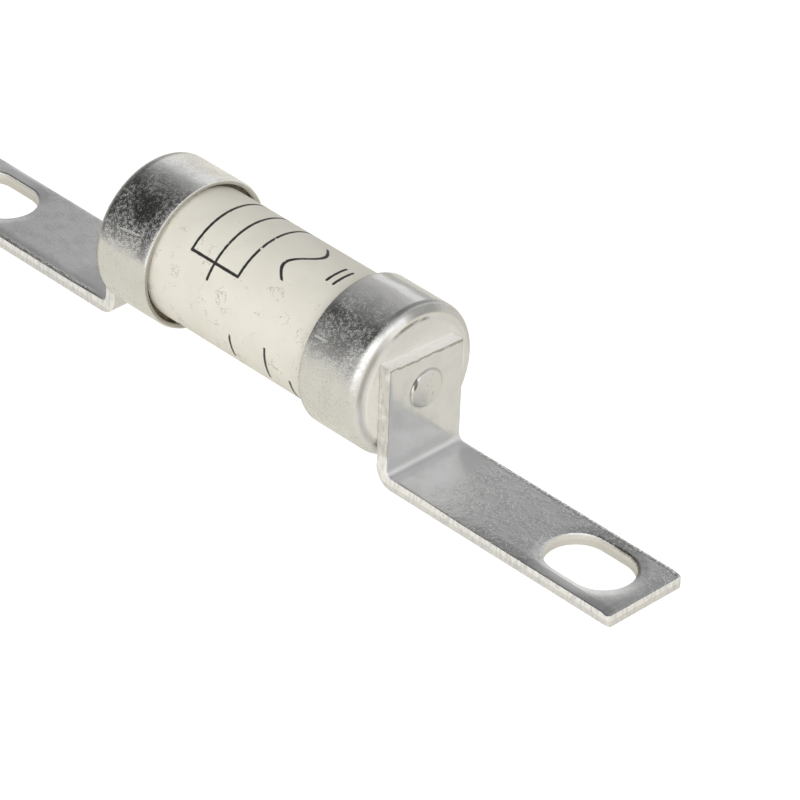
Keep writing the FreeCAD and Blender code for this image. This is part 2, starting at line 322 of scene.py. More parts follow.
def makeCamera():
    azimuth, elevation, roll = (math.radians(cameraSetup[key]) for key in ("azimuth", "elevation", "roll"))
    back = Vector((math.sin(azimuth) * math.cos(elevation), -math.cos(azimuth) * math.cos(elevation),
                   math.sin(elevation)))
    level = Vector((math.cos(azimuth), math.sin(azimuth), 0))
    above = back.cross(level)
    right = math.cos(roll) * level + math.sin(roll) * above
    up = math.cos(roll) * above - math.sin(roll) * level
    spot = back * cameraSetup["distance"] + right * cameraSetup["right"] + up * cameraSetup["up"]
    turned = Matrix((right, up, back)).transposed().to_4x4()
    deselectAll()
    bpy.ops.object.camera_add()
    camera = bpy.context.object
    camera.name = "camera"
    camera.matrix_world = Matrix.Translation(spot * mm) @ turned
    camera.data.lens = cameraSetup["lens"]
    camera.data.sensor_width = cameraSetup["sensor"]
    bpy.context.scene.camera = camera


# side in metres, drop under the tags in mm
floorSetup = {"side": 4.0, "drop": 0.05, "bounce": (0.86, 0.85, 0.82), "seen": (0.95, 0.95, 0.95),
              "mirrored": (0.62, 0.60, 0.525), "shadowed": (0.24, 0.24, 0.24)}


def makeFloor():
    deselectAll()
    bpy.ops.mesh.primitive_plane_add(size=floorSetup["side"], location=(0, 0, -floorSetup["drop"] * mm))
    floor = bpy.context.object
    floor.name = "floor"
    material, bench = newFinish("paleFloor")
    ray = bench.node("ShaderNodeLightPath")
    metal = ray.out("Is Glossy Ray").larger(ray.out("Is Transmission Ray"))
    seen = ray.out("Is Camera Ray").larger(metal)
    paper = bench.node("ShaderNodeBsdfDiffuse", None, {"Color": (*floorSetup["bounce"], 1)})
    light = bench.blend(metal, floorSetup["seen"], floorSetup["mirrored"])
    glow = bench.node("ShaderNodeEmission", None, {"Color": light, "Strength": 1.0})
    soft = bench.node("ShaderNodeBsdfDiffuse", None, {"Color": (*floorSetup["shadowed"], 1)})
    white = bench.node("ShaderNodeAddShader", None, {0: glow, 1: soft})
    surface = bench.node("ShaderNodeMixShader", None, {0: seen, 1: paper, 2: white})
    bench.node("ShaderNodeOutputMaterial", None, {"Surface": surface})
    floor.data.materials.append(material)


# the studio is a dark canopy over the left half, a dim ceiling and a bright wall in front of the fuse.
# the canopy and the wall are given by the cosine of the angle from their middle, the ceiling by height
studio = {"canopy": (-0.6, -0.28, 0.75), "wall": (0.45, -0.78, 0.43), "wallFrom": 0.5, "wallLevel": 0.9,
          "canopyLevels": ((0.0, 0.9), (0.39, 0.82), (0.5, 0.6), (0.61, 0.43), (0.74, 0.33), (0.8, 0.25),
                           (0.87, 0.17), (0.92, 0.12), (0.96, 0.055), (1.0, 0.035)),
          "ceilingLevels": ((0.0, 0.7), (0.3, 0.76), (0.48, 0.92), (0.62, 0.9), (0.72, 0.6), (0.85, 0.46),
                            (1.0, 0.3)), "backdrop": (1, 1, 1)}


def makeWorld():
    world = bpy.data.worlds.new("studio")
    bpy.context.scene.world = world
    world.use_nodes = True
    bench = Bench(world.node_tree)
    towards = bench.node("ShaderNodeTexCoord", None, None, output="Generated")
    _, _, height = bench.split(towards)
    canopy, wall = (bench.vector("DOT_PRODUCT", towards, tuple(Vector(studio[key]).normalized())).out("Value")
                    for key in ("canopy", "wall"))
    left = bench.node("ShaderNodeValToRGB", {"stops": studio["canopyLevels"]}, {0: canopy})
    above = bench.node("ShaderNodeValToRGB", {"stops": studio["ceilingLevels"]}, {0: height})
    around = left.smaller(above) + wall.rise(studio["wallFrom"], 1.0) * studio["wallLevel"]
    ray = bench.node("ShaderNodeLightPath")
    colour = bench.blend(ray.out("Is Camera Ray"), around, studio["backdrop"])
    glow = bench.node("ShaderNodeBackground", None, {"Color": colour, "Strength": 1.0})
    bench.node("ShaderNodeOutputWorld", None, {"Surface": glow})


# direction from the fuse, distance and side in metres, strength in watts
softbox = {"from": (0.6, -0.64, 0.48), "away": 1.1, "side": 1.25, "watts": 4.7}


def makeLamp():
    aim = Vector(softbox["from"]).normalized()
    deselectAll()
    bpy.ops.object.light_add(type="AREA", location=aim * softbox["away"])
    lamp = bpy.context.object
    lamp.name = "frontBox"
    lamp.rotation_euler = aim.to_track_quat("Z", "Y").to_euler()
    lamp.data.shape = "SQUARE"
    lamp.data.size = softbox["side"]
    lamp.data.energy = softbox["watts"]
    lamp.visible_glossy = False  # metal shows the studio's wall in its place


makeCamera()
makeFloor()
makeWorld()
makeLamp()
print("stage set")


# tinned metal

# the stain colour also paints shade, the shade colour paints shade, the scratched colour also paints
# highlights and glints, and the worn colour paints light on the caps' raised face
tin = {"colour": (0.79, 0.785, 0.765), "dull": (0.74, 0.73, 0.70), "strip": (0.785, 0.785, 0.785),
       "stripDull": (0.735, 0.735, 0.725), "worn": (0.87, 0.85, 0.80), "sheared": (0.9, 0.88, 0.835),
       "cut": (0.72, 0.70, 0.665), "scuffed": (0.5, 0.51, 0.505), "stainAndShade": (0.32, 0.29, 0.24),
       "shade": (0.3, 0.3, 0.29), "nick": (0.2, 0.19, 0.17), "scratchesAndGlints": (0.99, 0.99, 0.98)}


# rows are rings along the skin: the first one's place, how far apart and how many. Scratches are given by
# place along the fuse, angle up from the front, length in mm and lean in degrees
cap = {"rim": 9.4, "inside": 15.4, "bore": 6.415, "skin": 6.915, "corner": 0.9, "shoulder": 15.9,
       "disc": 16.1, "discRadius": 5.65, "innerCorner": 0.3, "rows": (10.2, 0.7, 7), "steps": 160,
       "drillAt": 15.7, "scratches": ((10.7, 35.2, 1.7, 1), (-12.15, 29.5, 2.8, 7))}


# a clip is how much of each corner is off the riser's top
tag = {"half": 4.2, "thick": 1.2, "riserBack": 16.1, "bendOut": 1.8, "top": 11.35, "topTilt": 3.05,
       "nearClip": 0.12, "farClip": 1.15, "tip": 42.75, "rollFrom": 21.5, "rollFull": 26.0, "slotAt": 36.5,
       "slotLong": 8.3, "slotWide": 5.75}


rivet = {"height": 8.3, "face": 17.3, "head": 1.72, "headHigh": 0.38, "headLower": 0.26, "shank": 1.09,
         "tail": 1.4, "tailFrom": 15.4, "end": 15.1, "steps": 64, "hole": 1.1, "drillLong": 3.0,
         "nickSide": -1.3, "nickHeight": 9.0, "nickLean": 0.36, "nickNarrow": 3.6}

bendAt = tag["riserBack"] + tag["bendOut"]  # where the foot starts
riserMiddle = tag["riserBack"] + tag["thick"] / 2
slotStraight = (tag["slotLong"] - tag["slotWide"]) / 2  # half of each straight side of the slot


def flatMetalPlace(bench, unrolled=False):  # a flat pattern plane: unrolled on the caps, seen flat elsewhere
    where = bench.place()
    x, y, z = bench.split(where)
    nx, _, _ = bench.split(bench.facing())
    if unrolled:
        aside = bench.join(x, bench.roundTube(y, z) * cap["skin"], 0.0)
    else:
        aside = bench.join(x, y, 0.0)
    flat = bench.blendVector(abs(nx).rise(0.69, 0.71), aside, bench.join(y, z, 0.0))
    return where, flat


# strokes are given by spacing, length and width in mm and a seed, noises by their scale
capLook = {"broad": 0.24, "patches": 0.6, "mottle": 3.1, "grain": 3.6, "wear": 0.42, "specks": 2.4,
           "hairs": ((1.3, 1.4, 0.035, 1), (0.38, 0.45, 0.04, 2)), "scratchWidth": (0.07, 0.15),
           "roughness": 0.08, "nearRoughness": 0.07, "veilRoughness": 0.16, "endRoughness": 0.1,
           "swell": 0.2, "oval": 0.125, "lobes": 0.15, "dents": 0.007, "wornDents": 0.021, "pits": 0.007,
           "fleckPits": 0.008, "hairDepth": 0.005, "scratchDepth": 0.03}


def capScratches(along, arc, grain):
    gouge = 0.0
    for place, around, length, lean in cap["scratches"]:
        sine = math.sin(math.radians(lean))
        cosine = math.cos(math.radians(lean))
        dx = along - place
        ds = arc - math.radians(around) * cap["skin"] + (grain - 0.5) * 0.25
        run = dx * cosine + ds * sine
        off = ds * cosine - dx * sine
        ends = abs(run).fall(length * 0.3, length * 0.5)
        gouge = (abs(off).fall(*capLook["scratchWidth"]) * ends).larger(gouge)
    return gouge


def makeCapFinish():
    material, bench = newFinish("tinnedCap")
    where, flat = flatMetalPlace(bench, unrolled=True)
    x, y, z = bench.split(where)
    along, arc, _ = bench.split(flat)
    angle = bench.roundTube(y, z)
    out = bench.distance(y, z - axisHeight)  # from the tube's axis
    near = x.rise(-6.0, 6.0)  # the two caps are not worn alike
    far = 1 - near
    side = abs(x).fall(15.0, 15.2)  # the skin as far as the shoulder
    end = abs(x).rise(15.6, 15.75)  # past the shoulder
    face = abs(x).rise(cap["disc"] - 0.1, cap["disc"] - 0.02)

    broad = bench.noise(where, capLook["broad"], 2)
    patches = bench.noise(where, capLook["patches"], 3)
    mottle = bench.noise(where, capLook["mottle"], 6, 0.8)
    grain = bench.noise(where, capLook["grain"], 3, 0.62)
    worn = bench.noise(where, capLook["wear"], 2).rise(0.38, 0.62)
    flecks = mottle.rise(0.48, 0.68)
    hair = bench.hairs(flat, capLook["hairs"]) * mottle.rise(0.42, 0.52)
    gouge = capScratches(along, arc, grain)

    # painted shade: dark bands low on the land at the raised face, over the shoulder's top, and back along
    # the skin
    valleyShade = out.line(6.25, 0.1, 0.32) * abs(x).rise(15.5, 15.7) * angle.rise(-0.1, 0.2)
    valleyShade = valleyShade * angle.fall(0.75, 1.0) * 0.5
    crestShade = abs(x).line(15.1, 0.12, 0.32) * angle.rise(1.15, 1.4) * 0.8
    shoulder = out.line(6.52, 0.2, 0.4) * abs(x).rise(15.1, 15.3) * angle.rise(1.35, 1.6) * 0.75
    crestShade = crestShade.larger(shoulder) * (angle.fall(1.85, 2.15) * 0.65 + 0.35)
    crestShade = crestShade.larger((arc + patches).line(14.0, 0.25, 0.7) * near * side * 0.35)
    crestShade = crestShade.larger(abs(x).rise(15.0, 15.25) * far * 0.45)
    # painted highlights: bright bands beside them, on the shoulder and along both caps' skin
    bright = out.line(6.4, 0.25, 0.45) * abs(x).rise(15.3, 15.5) * angle.rise(1.0, 1.15)
    bright = bright * angle.fall(1.35, 1.45)
    bright = bright.larger(arc.rise(10.3, 12.0) * far * side * 0.7)
    bright = bright.larger((arc + patches).line(12.75, 0.3, 0.75) * near * side)
    # grime at the foot of the raised face and along the near cap's rim, and painted shade on the rim's end
    # face
    step = (out - patches * 0.25).line(5.72, 0.04, 0.2) * end * patches.rise(0.36, 0.5) * z.rise(9.0, 12.0)
    step = step * y.line(-0.5, 1.3, 2.4) * 0.9
    rim = abs(x).line(cap["rim"] + 0.02, 0.06, 0.3) * (patches.rise(0.3, 0.7) * 0.35 + 0.3) * near
    # painted shade on both caps' rim end face
    rim = rim.larger(abs(x).fall(cap["rim"] + 0.03, cap["rim"] + 0.1) * out.fall(6.72, 6.82) * 0.65)
    specks = bench.noise(where, capLook["specks"], 2, 0.5).rise(0.69, 0.74) * 0.12

    colour = bench.blend(patches.rise(0.35, 0.75) * 0.6, tin["colour"], tin["dull"])
    # painted light: the raised face is lighter, most over its lower part, in a rubbed tin colour
    colour = bench.blend(face * z.fall(10.0, 13.5), colour, tin["worn"])
    # painted highlights: the bright bands
    colour = bench.blend(bright, colour, tin["scratchesAndGlints"])
    # painted shade: the dark bands over the shoulder and along the skin
    colour = bench.blend(crestShade, colour, tin["shade"])
    # painted shade in the valley and on the rim's end face, real grime at the step, along the near rim and in
    # the specks
    colour = bench.blend(valleyShade.larger(step).larger(rim).larger(specks), colour, tin["stainAndShade"])
    scuffed = flecks * (worn * 0.65 + 0.3)
    veil = near * z.rise(13.8, 14.5)
    roughness = capLook["roughness"] + near * capLook["nearRoughness"] + veil * capLook["veilRoughness"]
    roughness = roughness + grain * (near * 0.05 + 0.05) + end * capLook["endRoughness"]
    roughness = roughness + scuffed * 0.13 + hair * (near * 0.1 + 0.2) + gouge * 0.3
    # the far cap is a little out of round, which shapes what it mirrors
    oval = (z * 0.643 + y * 0.766) * far * -capLook["oval"]
    lobes = bench.maths("COSINE", (angle - 0.87) * 5.1) * far * angle.rise(-0.1, 0.1) * -capLook["lobes"]
    swell = bench.bump(broad * capLook["swell"] + oval + lobes)
    dents = mottle * (worn * capLook["wornDents"] + capLook["dents"]) * (1 - end * 0.7)
    uneven = bench.bump(dents, swell)
    pitted = bench.bump(grain * capLook["pits"] + scuffed * capLook["fleckPits"], uneven)
    scored = bench.bump((hair * capLook["hairDepth"] + gouge * capLook["scratchDepth"]) * -1, pitted)
    metallic = 1 - near * 0.04 - veil * 0.05 - z.fall(9.0, 14.0) * (end * 0.12 + face * 0.42)
    closeFinish(bench, {"Base Color": colour, "Roughness": roughness, "Metallic": metallic, "Normal": scored})
    return material


def rivetNick(bench, y, z):  # a slanting cut, across the edge of the rivet's head and into the riser
    up = z - rivet["nickHeight"]
    aside = (y - rivet["nickSide"] - up * rivet["nickLean"]) * rivet["nickNarrow"]
    return bench.distance(aside, up).fall(0.35, 0.6)


tagLook = {"broad": 0.3, "patches": 0.7, "grain": 3.0, "chatter": 4.2, "spots": 2.7, "tears": 3.4,
           "hairs": ((0.62, 0.8, 0.07, 4), (0.4, 0.5, 0.06, 5)), "lipHeight": 11.2, "lipLean": 0.0533,
           "ring": 1.76, "ringHeight": 8.05, "roughness": 0.15, "footRoughness": 0.14, "hairRoughness": 0.16,
           "edgeRoughness": 0.25, "bendRoughness": 0.2, "swell": 0.04, "dish": 0.06, "drawnIn": 0.055,
           "pits": 0.0012, "rubbedPits": 0.017, "rubbedPatches": 0.07, "hairDepth": 0.01, "tearDepth": 0.09}


def makeTagFinish():
    material, bench = newFinish("tinnedTag")
    where, flat = flatMetalPlace(bench)
    x, y, z = bench.split(where)
    nx, ny, nz = bench.split(bench.facing())
    near = x.rise(-1.0, 1.0)  # the near tag is worn more
    outer = bench.maths("SIGN", x) * y  # across the strip, alike on both tags
    riser = z.rise(2.6, 3.4)
    foot = abs(x).rise(20.0, 23.0)
    upward = nz.rise(0.5, 0.7)
    front = abs(nx).rise(0.5, 0.6)
    # beside the slot the strip is rubbed smoother, and it carries a painted highlight there
    smoother = abs(x).rise(33.0, 37.0) * outer.fall(-1.5, 2.5)  # rubbed bright beside the slot

    broad = bench.noise(where, tagLook["broad"], 2)
    patches = bench.noise(where, tagLook["patches"], 4, 0.6)
    grain = bench.noise(where, tagLook["grain"], 4, 0.65)
    chatter = bench.noise(where, tagLook["chatter"], 2, 0.5)
    spots = bench.noise(where, tagLook["spots"], 4, 0.7).rise(0.54, 0.66) * foot * (near * 0.3 + 0.05)
    hair = bench.hairs(flat, tagLook["hairs"])
    hair = hair * foot * patches.rise(0.38, 0.6) * (near * 0.6 + 0.4) * upward * (1 - smoother * 0.8)

    # the cut faces: the slot's wall, the long edges, the tip and the riser's top
    slotEnd = (abs(abs(x) - tag["slotAt"]) - slotStraight).larger(0.0)
    slotAway = bench.distance(slotEnd, y) - tag["slotWide"] / 2
    slotWall = slotAway.fall(0.1, 0.2) * abs(nz).fall(0.4, 0.6)
    long = abs(ny).rise(0.6, 0.8) * (1 - slotWall)
    tip = abs(x).rise(tag["tip"] - 0.15, tag["tip"] - 0.07)
    top = nz.rise(0.15, 0.4) * z.rise(10.5, 10.6)
    sheared = long.larger(tip).larger(top).larger(slotWall)
    bend = bench.distance(abs(x) - bendAt, z - tag["bendOut"]).fall(0.6, 1.2)
    tears = bench.noise(where, tagLook["tears"], 4, 0.7, stretch=(1.0, 1.0, 0.3)) * (1 - slotWall * 0.5)

    # painted shade: a dark line under the riser's lip that widens to the right, a shadow ring round the
    # rivet, dark lines along the edges and a dark line beside the slot's far edge
    wander = (bench.noise(where, 0.5, 2) - 0.5) * 0.9 + (bench.noise(where, 2.0, 2) - 0.5) * 0.12
    lipShade = abs(z + outer * tagLook["lipLean"] - tagLook["lipHeight"] - wander) - outer.rise(0.0, 4.0) * 0.12
    lipShade = lipShade.fall(0.04, 0.17) * (patches.rise(0.3, 0.45) * 0.6 + 0.4)
    ring = bench.distance(y, z - tagLook["ringHeight"]).line(tagLook["ring"], 0.04, 0.2)
    ring = ring * ((z - y * 0.5).rise(6.5, 9.5) * 0.35 + 0.15)
    edge = abs(y).line(tag["half"] - 0.05, 0.03, 0.1) * z.rise(1.0, 1.1)
    edge = edge * 0.5 * (patches.rise(0.35, 0.5) * 0.6 + 0.4)
    slotEdgeShade = slotAway.fall(0.16, 0.42) * outer.rise(0.6, 1.6) * (abs(x) - 0.2 * outer).rise(35.4, 36.4)
    farLine = (outer + (chatter - 0.5) * 0.4).rise(3.72, 3.9) * abs(x).rise(18.5, 20.0)
    nearLine = outer.fall(-4.11, -4.04) * abs(x).rise(18.0, 19.0) * abs(x).fall(25.0, 28.0)
    grimeAndShade = ((lipShade * 0.7).larger(ring) * front).larger(edge) * riser
    grimeAndShade = grimeAndShade.larger(slotEdgeShade * nz.rise(0.1, 0.5) * grain.rise(0.36, 0.5) * 0.9)
    grimeAndShade = grimeAndShade.larger((farLine * chatter.rise(0.48, 0.56) * 0.5).larger(nearLine * 0.6) * upward)

    # dull patches on the foot, and painted shade: darker out toward the tip and over the tip's rolled end;
    # darker too at the foot's height
    dulledAndShaded = foot * patches.rise(0.42, 0.62) * 0.25 + abs(x).rise(24.0, 31.0) * 0.22
    dulledAndShaded = dulledAndShaded + z.fall(1.2, 1.5) * 0.16 - smoother * 0.16
    dulledAndShaded = dulledAndShaded.larger(abs(x).rise(41.4, 41.9) * 0.9)
    cutLight = bench.blend(z.rise(0.45, 0.7), tin["cut"], tin["sheared"])
    colour = bench.blend(patches.rise(0.35, 0.7) * 0.7, tin["strip"], tin["stripDull"])
    colour = bench.blend(dulledAndShaded, colour, tin["scuffed"])
    colour = bench.blend(spots, colour, tin["scuffed"])
    colour = bench.blend(hair * 0.6, colour, tin["scratchesAndGlints"])
    colour = bench.blend(sheared, colour, cutLight)
    colour = bench.blend(slotWall * 0.6, colour, tin["cut"])
    colour = bench.blend(sheared * tears.rise(0.45, 0.62) * (0.5 - top * 0.3), colour, tin["scuffed"])
    # painted highlight beside the slot
    colour = bench.blend(smoother * slotAway.fall(0.4, 1.9) * upward, colour, tin["scratchesAndGlints"])
    # painted glints along the far edge of the near tag's foot
    colour = bench.blend(farLine * chatter.fall(0.42, 0.5) * upward * near, colour, tin["scratchesAndGlints"])
    # painted shade from the lip, rivet ring, edge and slot lines
    colour = bench.blend(grimeAndShade, colour, tin["stainAndShade"])
    colour = bench.blend(rivetNick(bench, y, z) * front, colour, tin["nick"])

    roughness = tagLook["roughness"] + grain * (foot * tagLook["footRoughness"] + 0.04)
    roughness = roughness + hair * tagLook["hairRoughness"] + sheared * tagLook["edgeRoughness"]
    roughness = roughness + bend * tagLook["bendRoughness"] + patches.rise(0.5, 0.6) * 0.06
    swell = bench.bump(broad * tagLook["swell"] - y * foot * x.fall(-1.0, 1.0) * tagLook["dish"])
    drawn = bench.bump(slotAway.fall(0.0, 1.2) * nz.rise(0.5, 0.9) * -tagLook["drawnIn"], swell)
    rubbed = foot * (near * 0.7 + 0.3) * (1 - smoother * 0.6)
    pits = grain * (rubbed * tagLook["rubbedPits"] + tagLook["pits"])
    pitted = bench.bump(pits + patches * rubbed * tagLook["rubbedPatches"], drawn)
    scored = bench.bump(hair * -tagLook["hairDepth"] + chatter * farLine * 0.06, pitted)
    torn = bench.bump(tears * sheared * (tagLook["tearDepth"] - top * 0.075), scored)
    metallic = 1 - (top * 0.9).larger(long * 0.72).larger(slotWall * 0.15).larger(tip * 0.4)
    closeFinish(bench, {"Base Color": colour, "Roughness": roughness, "Metallic": metallic, "Normal": torn})
    return material


rivetLook = {"grain": 3.0, "specks": 2.6, "lumps": 0.9, "roughness": 0.34, "lumpHeight": 0.07, "pits": 0.01}


def makeRivetFinish():
    material, bench = newFinish("tinnedRivet")
    where = bench.place()
    _, y, z = bench.split(where)
    grain = bench.noise(where, rivetLook["grain"], 3, 0.6)
    specks = bench.noise(where, rivetLook["specks"], 2, 0.5).rise(0.62, 0.7)
    colour = bench.blend(specks * 0.4, tin["colour"], tin["stainAndShade"])
    colour = bench.blend(rivetNick(bench, y, z), colour, tin["nick"])
    lumpy = bench.bump(bench.noise(where, rivetLook["lumps"], 2) * rivetLook["lumpHeight"])
    pitted = bench.bump(grain * rivetLook["pits"], lumpy)
    roughness = rivetLook["roughness"] + grain * 0.16
    closeFinish(bench, {"Base Color": colour, "Roughness": roughness, "Normal": pitted}, {"Metallic": 1.0})
    return material


# glazed ceramic with its plain printed marks

tube = {"halfLength": 14.5, "radius": 6.075, "bore": 4.25, "edge": 0.35, "boreEdge": 0.2,
        "rings": (-9, -4.5, 0, 4.5, 9), "steps": 144}

ceramic = {"body": (0.82, 0.79, 0.70), "cloud": (0.785, 0.755, 0.665), "speck": (0.34, 0.31, 0.27),
           "ink": (0.015, 0.0145, 0.014), "line": 0.27, "lineEdge": 0.035, "worn": 2.2, "rubbed": 1.1,
           "clouds": 0.35, "curls": 1.25, "curlPatches": 0.62, "smears": 1.3, "grit": 2.9, "fine": 2.0,
           "broad": 0.4, "roughness": 0.34, "gloss": 0.36, "swell": 0.05, "orangePeel": 0.004,
           "gritHeight": 0.006}

# the fuse sign: a box with a line through it, and beside it a wave for alternating current and some ticks.
# along is the place on the tube in mm, around the angle up from the front, in degrees
signs = {"box": {"along": -3.3, "around": 92, "width": 5.6, "length": 10.6}, "lead": 13.6,
         "wave": {"along": 3.3, "around": 84, "length": 5.4, "height": 0.95, "steep": 1.35},
         "ticks": ((6.7, 88, 2.2), (7.5, 88, 2.2), (0.2, -18, 2.4), (4.5, -14, 3.2), (7.3, -30, 2.6),
                   (-7.2, -44, 1.6))}


def distanceToSigns(bench, x, arc):  # in mm, on the unrolled tube
    perDegree = tube["radius"] * math.pi / 180

    def away(centre, around, halfWidth, halfLength):  # distance outside or inside a box
        dx = abs(x - centre) - halfWidth
        ds = abs(arc - around * perDegree) - halfLength
        return bench.distance(dx.larger(0), ds.larger(0)) + dx.larger(ds).smaller(0)

    box = signs["box"]
    nearest = abs(away(box["along"], box["around"], box["width"] / 2, box["length"] / 2))
    nearest = nearest.smaller(away(box["along"], box["around"], 0, signs["lead"] / 2))
    wave = signs["wave"]
    shifted = arc - wave["around"] * perDegree
    curve = bench.maths("SINE", shifted * (2 * math.pi / wave["length"])) * wave["height"]
    lineAway = abs(x - wave["along"] - curve) / wave["steep"]
    nearest = nearest.smaller(lineAway.larger(abs(shifted) - wave["length"] / 2))
    for along, around, length in signs["ticks"]:
        nearest = nearest.smaller(away(along, around, 0, length / 2))
    return nearest


def makeCeramicFinish():
    material, bench = newFinish("whiteCeramic")
    where = bench.place()
    x, y, z = bench.split(where)
    angle = bench.roundTube(y, z)
    nearest = distanceToSigns(bench, x, angle * tube["radius"])
    worn = bench.noise(where, ceramic["worn"], 3, 0.6)
    half = ceramic["line"] / 2
    ink = (nearest + (worn - 0.5) * 0.09).fall(half - ceramic["lineEdge"], half + ceramic["lineEdge"])
    ink = ink * bench.noise(where, ceramic["rubbed"], 2).fall(0.66, 0.72)  # the print is rubbed off in spots

    clouds = bench.noise(where, ceramic["clouds"], 3)
    curls = bench.noise(where, ceramic["curls"], 3, 0.6).line(0.5, 0.004, 0.016)
    curls = curls * bench.noise(where, ceramic["curlPatches"], 3).rise(0.54, 0.6) * angle.fall(0.8, 1.1)
    grimeAndShade = curls.larger(bench.noise(where, ceramic["smears"], 4, 0.7).rise(0.6, 0.75) * 0.14)
    grit = bench.noise(where, ceramic["grit"], 2, 0.5).rise(0.71, 0.76)
    colour = bench.blend(clouds.rise(0.35, 0.7), ceramic["body"], ceramic["cloud"])
    colour = bench.blend((grit * 0.35).larger(grimeAndShade * 0.85), colour, ceramic["speck"])
    colour = bench.blend(ink * 0.98, colour, ceramic["ink"])
    roughness = ceramic["roughness"] + worn * 0.14 + ink * 0.12
    uneven = bench.bump(bench.noise(where, ceramic["broad"], 2) * ceramic["swell"])
    fine = bench.noise(where, ceramic["fine"], 2) * ceramic["orangePeel"] + grit * -ceramic["gritHeight"]
    closeFinish(bench, {"Base Color": colour, "Roughness": roughness, "Normal": bench.bump(fine, uneven)},
                {"Specular IOR Level": ceramic["gloss"]})
    return material


capFinish = makeCapFinish()
tagFinish = makeTagFinish()
rivetFinish = makeRivetFinish()
ceramicFinish = makeCeramicFinish()
print("finishes mixed")


# ceramic tube

def makeTube():
    half, outer, bore, edge = tube["halfLength"], tube["radius"], tube["bore"], tube["edge"]
    boreEdge = tube["boreEdge"]
    section = [(-half + edge, outer)]
    section += [(x, outer) for x in tube["rings"]]
    section += arcPoints((half - edge, outer - edge), edge, 90, 0, 5)
    section += [(half, bore + boreEdge), (half - boreEdge, bore), (-half + boreEdge, bore),
                (-half, bore + boreEdge)]
    section += arcPoints((-half + edge, outer - edge), edge, 180, 90, 5)
    piece = turn("ceramicTube", section, axisHeight, tube["steps"])
    smooth(piece, 35)
    finishPiece(piece, ceramicFinish, "ceramic_barrel")


makeTube()
print("tube made")


# outer caps

# how far in from the rim, and how far off the bore or the skin, the rim's two corners go
rimInside = ((0.16, 0.0), (0.03, 0.07), (0.0, 0.16))
rimOutside = ((0.0, 0.16), (0.05, 0.05), (0.18, 0.0))
# how far out from the land, and how far outside the raised face's radius, the step between them goes
faceStep = ((0.0, 0.33), (0.015, 0.2), (0.07, 0.08), (0.14, -0.02), (0.185, -0.16), (0.2, -0.35))


def drillForRivet(piece, middle):
    deselectAll()
    bpy.ops.mesh.primitive_cylinder_add(vertices=48, radius=rivet["hole"] * mm, depth=rivet["drillLong"] * mm,
                                        location=Vector((middle, 0, rivet["height"])) * mm,
                                        rotation=(0, math.pi / 2, 0))
    cutWith(piece, bpy.context.object)


def makeCaps():
    skin, bore, corner, innerCorner = cap["skin"], cap["bore"], cap["corner"], cap["innerCorner"]
    section = [(cap["inside"], 0.0), (cap["inside"], 3.0), (cap["inside"], bore - innerCorner)]
    section += arcPoints((cap["inside"] - innerCorner, bore - innerCorner), innerCorner, 0, 90, 3)[1:]
    section += [(12.0, bore)]
    section += [(cap["rim"] + inwards, bore + off) for inwards, off in rimInside]
    section += [(cap["rim"] + inwards, skin - off) for inwards, off in rimOutside]
    first, apart, count = cap["rows"]
    section += [(first + apart * i, skin) for i in range(count)]
    section += arcPoints((cap["shoulder"] - corner, skin - corner), corner, 90, 0, 10)
    section += [(cap["shoulder"] + outwards, cap["discRadius"] + off) for outwards, off in faceStep]
    section += [(cap["disc"], 4.0), (cap["disc"], 2.4), (cap["disc"], 0.0)]
    piece = turn("capNear", section, axisHeight, cap["steps"])
    drillForRivet(piece, cap["drillAt"])
    smooth(piece, 40)
    other = turnedCopy(piece, "capFar")
    finishPiece(piece, capFinish, "outer_cap_right")
    finishPiece(other, capFinish, "outer_cap_left")


makeCaps()
print("caps made")


# tags

# how far in from the long edges, and how high, the strip's edge goes
crispEdge = ((0.05, 0.0), (0.01, 0.03), (0.0, 0.08), (0.0, 1.03), (0.012, 1.1), (0.05, 1.155), (0.11, 1.18),
             (0.2, 1.193), (0.36, 1.2))
# how much lower the foot's rolled long edge is, by how far in from that edge
rolledEdge = ((0.0, 0.11), (0.012, 0.11), (0.05, 0.11), (0.11, 0.11), (0.2, 0.108), (0.36, 0.09),
              (0.6, 0.055), (0.85, 0.025), (1.15, 0.006))
# how far in from the tip the edge there goes, how much lower, and how much narrower
rolledTip = ((1.1, 0.0, 0.0), (0.95, 0.01, 0.0), (0.75, 0.045, 0.0), (0.5, 0.09, 0.0),
             (0.36, 0.11, 0.003), (0.24, 0.13, 0.025), (0.14, 0.155, 0.075), (0.06, 0.2, 0.15),
             (0.02, 0.26, 0.23), (0.0, 0.33, 0.31))
# how much of the riser's clipped top each row rises and narrows
clippedRows = ((0.5, 0.14), (0.3, 0.33), (0.2, 0.53))
riserRows = (3.6, 3.4)  # lengths of the riser's first rows, from the bend up
footRow = 33.0  # the foot's last row before the tip
# how high the slot cutter's rows are, and how far outside the slot. Its flared top leaves a rolled edge
slotFlare = ((-0.6, 0.0), (0.9, 0.0), (1.0, 0.02), (1.08, 0.06), (1.13, 0.12), (1.152, 0.24), (1.17, 0.45),
             (1.187, 0.7), (1.205, 1.0), (2.0, 1.02))


def tagSection():
    half = tag["half"]
    edge = crispEdge + tuple((inwards, tag["thick"]) for inwards, _ in rolledEdge[-3:])
    near = [(-half + inwards, height) for inwards, height in edge]
    far = [(half - inwards, height) for inwards, height in reversed(edge)]
    across = [(y, tag["thick"]) for y in (-1.6, 0.1, 1.8)]
    under = [(y, 0.0) for y in (2.0, 0.0, -2.0)]
    return near + across + far + under + near[:1]


